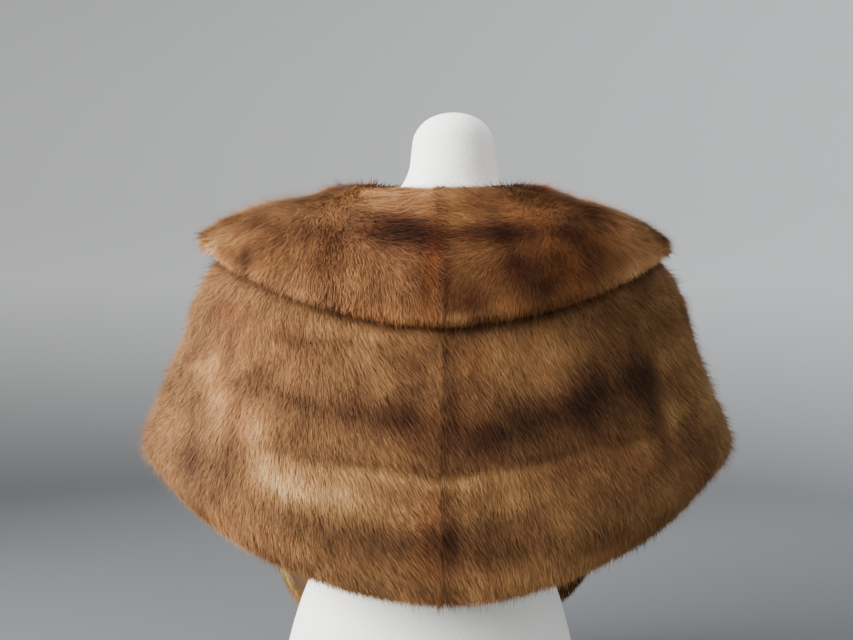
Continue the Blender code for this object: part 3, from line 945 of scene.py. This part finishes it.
def growFur(name, kind, bed, blade, tree, material, seed):
    skin = peltSkin(name + "_bed", bed, True)
    modifier = skin.modifiers.new("growFur", "NODES")
    modifier.node_group = tree
    values = {
        "Per square metre": fur["density"][kind],
        "Seed": seed,
        "Blade": blade,
        "Length": fur["length"],
        "Width": fur["width"],
        "Lift": math.radians(fur["lift"]),
        "Guard share": fur["guardShare"],
        "Material": material,
    }
    for item in tree.interface.items_tree:
        if item.in_out == "INPUT" and item.name in values:
            modifier[item.identifier] = values[item.name]
    skin.update_tag()
    evaluated = skin.evaluated_get(bpy.context.evaluated_depsgraph_get())
    mesh = bpy.data.meshes.new_from_object(evaluated)
    for spare in ("flow", "cover", "size"):
        mesh.attributes.remove(mesh.attributes[spare])
    mesh.name = name
    hair = placed(name, mesh)
    bpy.data.objects.remove(skin)
    print(name, len(mesh.polygons), "faces")
    return hair


# Finishes

furFinish = {
    # from the darkest stripe to the cream of a belly
    "stops": (
        (0.00, (0.012, 0.006, 0.004)),
        (0.25, (0.049, 0.021, 0.012)),
        (0.50, (0.172, 0.078, 0.033)),
        (0.75, (0.455, 0.226, 0.086)),
        (1.00, (0.840, 0.520, 0.240)),
    ),
    "strandSpread": 0.22,
    "cloudSpread": 0.32,
    "cloudScale": 24.0,
    "rootShade": 0.66,
    "red": (1.0, 0.60, 0.48),
    "olive": (0.80, 0.96, 0.92),
    "downScale": 700.0,
    "downStrength": 0.6,
    "downDepth": 0.002,
    "peltShare": 0.30,       # how far a lock takes its normal from the pelt, and how much
    "risenShare": 0.65,      # further where it stands up
    "roughness": 0.62,
    "sheen": 0.03,
    "sheenRoughness": 0.45,
    "sheenTint": (1.0, 0.80, 0.62),
    "specular": 0.05,
}


def furMaterial(name, onSkin):
    material, graph, shader = newMaterial(name)
    place = graph.objectPlace()
    cloud = graph.cloud(place, furFinish["cloudScale"], 3.0)
    tone = graph.attribute("tone") * 0.5 + 0.5 + (cloud - 0.5) * furFinish["cloudSpread"]
    if not onSkin:
        tone = tone + (graph.attribute("strand") - 0.5) * furFinish["strandSpread"]
    colour = graph.add("ShaderNodeValToRGB", {"stops": furFinish["stops"]}, {"Fac": tone}, "Color")
    warmth = graph.attribute("warmth")
    redder = graph.clamped(warmth)
    greener = graph.clamped(warmth * -1.0)
    colour = graph.mixed(redder, colour, (*furFinish["red"], 1), "MULTIPLY")
    colour = graph.mixed(greener, colour, (*furFinish["olive"], 1), "MULTIPLY")
    if onSkin:
        shade = furFinish["rootShade"]
        colour = graph.mixed(1.0, colour, (shade, shade, shade, 1), "MULTIPLY")
        down = graph.cloud(place, furFinish["downScale"])
        joinTo(shader, "Normal", graph.bump(down, furFinish["downStrength"], furFinish["downDepth"]))
    else:
        # roots lie in the shade of the hair above them
        depth = graph.attribute("along") * (1 - furFinish["rootShade"]) + furFinish["rootShade"]
        grey = {part: depth for part in ("Red", "Green", "Blue")}
        shade = graph.add("ShaderNodeCombineColor", {}, grey, "Color")
        colour = graph.mixed(1.0, colour, shade, "MULTIPLY")
        # standing hair takes its light from the pelt's side, as a whole tuft does
        risen = graph.attribute("rise") * furFinish["risenShare"]
        flat = graph.scaled(graph.attribute("outward", "Vector"), risen + furFinish["peltShare"])
        facing = graph.add("ShaderNodeNewGeometry", {}, {}, "Normal")
        own = graph.scaled(facing, (1 - furFinish["peltShare"]) - risen)
        joinTo(shader, "Normal", graph.unit(graph.vectors("ADD", flat, own)))
    joinTo(shader, "Base Color", colour)
    shader.inputs["Roughness"].default_value = furFinish["roughness"]
    shader.inputs["Sheen Weight"].default_value = furFinish["sheen"]
    shader.inputs["Sheen Roughness"].default_value = furFinish["sheenRoughness"]
    shader.inputs["Sheen Tint"].default_value = (*furFinish["sheenTint"], 1)
    shader.inputs["Specular IOR Level"].default_value = furFinish["specular"]
    return material


satinFinish = {
    "colour": (0.150, 0.075, 0.035),
    "paler": 1.5,
    "roughness": 0.34,
    "roughnessSpread": 0.2,
    "threads": 900.0,
    "threadShare": 0.3,
    "cloudScale": 30.0,
    "bumpStrength": 0.4,
    "bumpDepth": 0.002,
    "sheen": 0.3,
}


def satinMaterial():
    material, graph, shader = newMaterial("satinLining")
    place = graph.objectPlace()
    fine = graph.cloud(place, satinFinish["threads"])
    soft = graph.cloud(place, satinFinish["cloudScale"], 3.0)
    pale = tuple(satinFinish["paler"] * part for part in satinFinish["colour"])
    joinTo(shader, "Base Color", graph.mixed(soft, (*satinFinish["colour"], 1), (*pale, 1)))
    spread = satinFinish["roughnessSpread"]
    joinTo(shader, "Roughness", fine * spread + (satinFinish["roughness"] - spread / 2))
    height = fine * satinFinish["threadShare"] + soft
    joinTo(shader, "Normal", graph.bump(height, satinFinish["bumpStrength"], satinFinish["bumpDepth"]))
    shader.inputs["Sheen Weight"].default_value = satinFinish["sheen"]
    return material


# The dress form, floor to neck: height, half width, depth behind and in front, and
# its middle's place to the side

form = {
    "sides": 72,
    "rowsBetween": 3,
    "neckForward": 0.006,
    "neckFrom": 0.50,
    "neckTo": 0.66,
    "colour": (0.98, 0.98, 0.95),
    "yellowed": (0.95, 0.94, 0.84),
    "cloudScale": 9.0,
    "roughness": 0.55,
    "roughnessSpread": 0.15,
    "pebbleScale": 520.0,
    "pebbleStrength": 0.35,
    "pebbleDepth": 0.0012,
    "sharpAngle": 50,
}

formRings = (
    (0.000, 0.171, 0.112, 0.098, -0.010), (0.006, 0.176, 0.116, 0.102, -0.010),
    (0.050, 0.176, 0.117, 0.104, -0.010), (0.100, 0.168, 0.113, 0.102, -0.010),
    (0.150, 0.154, 0.104, 0.097, -0.009), (0.200, 0.135, 0.093, 0.090, -0.008),
    (0.245, 0.124, 0.086, 0.088, -0.006), (0.300, 0.131, 0.086, 0.094, -0.003),
    (0.360, 0.146, 0.091, 0.108, 0.000), (0.410, 0.158, 0.096, 0.124, 0.003),
    (0.460, 0.165, 0.099, 0.116, 0.006), (0.510, 0.173, 0.099, 0.094, 0.004),
    (0.540, 0.183, 0.091, 0.074, 0.003), (0.558, 0.178, 0.082, 0.062, 0.001),
    (0.571, 0.162, 0.073, 0.054, -0.001), (0.584, 0.1333, 0.066, 0.051, -0.0005),
    (0.598, 0.1053, 0.061, 0.050, 0.0025), (0.618, 0.078, 0.056, 0.050, 0.011),
    (0.642, 0.060, 0.051, 0.051, 0.016), (0.662, 0.053, 0.049, 0.050, 0.018),
    (0.682, 0.0505, 0.047, 0.049, 0.018), (0.702, 0.0470, 0.044, 0.046, 0.018),
    (0.7175, 0.0356, 0.034, 0.035, 0.018), (0.7260, 0.0190, 0.018, 0.018, 0.018),
    (0.7290, 0.0002, 0.0002, 0.0002, 0.018),
)


def formMaterial():
    material, graph, shader = newMaterial("formWhite")
    place = graph.objectPlace()
    inputs = {"Vector": place, "Scale": form["pebbleScale"]}
    pebbles = graph.add("ShaderNodeTexVoronoi", {"feature": "SMOOTH_F1"}, inputs, "Distance")
    soft = graph.cloud(place, form["cloudScale"], 4.0)
    joinTo(shader, "Base Color", graph.mixed(soft, (*form["colour"], 1), (*form["yellowed"], 1)))
    joinTo(shader, "Roughness", soft * form["roughnessSpread"] + form["roughness"])
    joinTo(shader, "Normal", graph.bump(pebbles, form["pebbleStrength"], form["pebbleDepth"]))
    return material


def buildForm():
    knots = np.column_stack([np.arange(len(formRings)), np.array(formRings)])
    at = np.linspace(0, len(formRings) - 1, (len(formRings) - 1) * form["rowsBetween"] + 1)
    _, z, half, back, front, shift = tableAt(knots, at)
    turns = np.linspace(0, 2 * math.pi, form["sides"], endpoint=False)[None, :]
    ahead = form["neckForward"] * smoothStep(form["neckFrom"], form["neckTo"], z)[:, None]
    depth = np.where(np.sin(turns) > 0, front[:, None], back[:, None])
    x = shift[:, None] + half[:, None] * np.cos(turns)
    y = ahead + depth * np.sin(turns)
    points = np.stack([x, y, np.broadcast_to(z[:, None], x.shape)], axis=-1)
    sides, rows = form["sides"], len(at)
    faces = []
    for row in range(rows - 1):
        for k in range(sides):
            low, high, after = row * sides, (row + 1) * sides, (k + 1) % sides
            faces.append((low + k, low + after, high + after, high + k))
    top = (rows - 1) * sides
    faces.append(tuple(reversed(range(sides))))
    faces.append(tuple(top + k for k in range(sides)))
    mesh = bpy.data.meshes.new("dressForm")
    mesh.from_pydata(points.reshape(-1, 3).tolist(), [], faces)
    mesh.shade_smooth()
    mesh.set_sharp_from_angle(angle=math.radians(form["sharpAngle"]))
    mesh.materials.append(formMaterial())
    body = placed("dressForm", mesh)
    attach(body, "root")
    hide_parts("dress_form")


def buildStage():
    # a floor that curves up into the backdrop
    bend, sides = sweep["bend"], sweep["sides"]
    profile = []
    for angle in np.radians(np.linspace(0, 90, sweep["bendPoints"])):
        profile.append((sweep["floorRadius"] + bend * math.sin(angle), bend - bend * math.cos(angle)))
    profile.append((sweep["floorRadius"] + bend, sweep["height"]))
    turns = np.linspace(0, 2 * math.pi, sides, endpoint=False)
    points = []
    for radius, z in profile:
        points.extend((radius * math.cos(turn), radius * math.sin(turn), z) for turn in turns)
    faces = [tuple(range(sides))]
    for row in range(len(profile) - 1):
        for k in range(sides):
            low, high, after = row * sides, (row + 1) * sides, (k + 1) % sides
            faces.append((low + k, high + k, high + after, low + after))
    mesh = bpy.data.meshes.new("backdrop")
    mesh.from_pydata(points, [], faces)
    mesh.shade_smooth()
    material, graph, shader = newMaterial("backdropGrey")
    place = graph.objectPlace()
    soft = graph.cloud(place, sweep["cloudScale"])
    x, z = (graph.add("ShaderNodeSeparateXYZ", {}, {"Vector": place}, axis) for axis in "XZ")
    # painted shade: darker to the left, and darker from the wall down to the floor
    across = graph.clamped(x * (0.5 / sweep["floorRadius"]) + 0.5)
    height = graph.clamped(z * (1 / sweep["blendHeight"]) + (soft - 0.5) * sweep["cloudShare"])
    tints = []
    for left, right in (sweep["floorPaintedShades"], sweep["wallPaintedShades"]):
        tints.append(graph.mixed(across, (*left, 1), (*right, 1)))
    joinTo(shader, "Base Color", graph.mixed(height, *tints))
    shader.inputs["Roughness"].default_value = sweep["roughness"]
    mesh.materials.append(material)
    placed("backdrop", mesh)


# Each pelt: its node, its record slot, and the flat size and area that it is cut to

cuts = {
    "yoke": ("fur_brown", (0.62, 0.20), 0.089),
    "upper_row": ("fur_brown", (0.72, 0.17), 0.108),
    "lower_row": ("fur_gold", (0.46, 0.16), 0.052),
    "front_end": ("fur_gold", (0.27, 0.25), 0.043),
    "collar": ("fur_brown", (0.48, 0.22), 0.091),
}


def collarRows(use):
    # close rows round the turn, then even rows down the fall, short of the hair's ends
    turned = len(collarTurn) - 1
    stride = collarEdges[0, 1] / collar["fallSteps"]
    end = turned + collar["fallSteps"] - cape["edgeInset"] / stride
    near = np.linspace(0, turned, pelts["rowsRoundTurn"][use])
    return np.concatenate([near, spaced(turned, end, pelts["rowStep"][use] / stride)[1:]])


def halfBeds(side, use):
    # the beds of one half, with the steps that its skins or its fur need
    columnStep, rowStep = pelts["columnStep"][use], pelts["rowStep"][use]
    inset = math.degrees(cape["edgeInset"] / cape["frontRadius"])
    front, seam = cape["frontEdge"] - inset, cape["sideSeam"]
    whole = np.radians(spaced(0, front, columnStep))
    back, ends = np.radians(spaced(0, seam, columnStep)), np.radians(spaced(seam, front, columnStep))
    return {
        "yoke": capeBed(side, whole, 0.0, cape["yokeSeam"], {"below"}, rowStep),
        "upper_row": capeBed(side, whole, cape["yokeSeam"], cape["rowSeam"], {"above", "below"}, rowStep),
        "lower_row": capeBed(side, back, cape["rowSeam"], 1.0, {"above", "front"}, rowStep),
        "front_end": capeBed(side, ends, cape["rowSeam"], 1.0, {"above"}, rowStep),
        "collar": collarBed(side, whole, collarRows(use)),
    }


def buildCape():
    blade, tree = bladeObject(), furTree()
    hairFinish = furMaterial("furHair", False)
    skinFinish, satin = furMaterial("underfur", True), satinMaterial()
    seed = fur["firstSeed"]
    for side, label in ((-1, "left"), (1, "right")):
        skins, furs = halfBeds(side, "skin"), halfBeds(side, "fur")
        for kind, (slot, flat, area) in cuts.items():
            node = f"{kind}_{label}"
            skin = peltSkin(node + "_pelt", skins[kind], False)
            skin.data.materials.append(skinFinish)
            skin.data.materials.append(satin)
            dressPelt(skin)
            hair = growFur(node + "_fur", kind, furs[kind], blade, tree, hairFinish, seed)
            seed += fur["seedStep"]
            for piece in (skin, hair):
                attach(piece, "root")
            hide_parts(node)
    bpy.data.objects.remove(blade)


def dressPelt(skin):
    # the inner faces take the lining
    cover = np.empty(len(skin.data.vertices), np.float32)
    skin.data.attributes["cover"].data.foreach_get("value", cover)
    for face in skin.data.polygons:
        if max(cover[v] for v in face.vertices) == 0:
            face.material_index = 1
    for spare in ("flow", "cover", "size", "rise"):
        skin.data.attributes.remove(skin.data.attributes[spare])


addCamera()
addLamps()
buildStage()
print("camera, lamps and stage placed")
buildForm()
print("dress form built")
buildCape()
print("cape built")
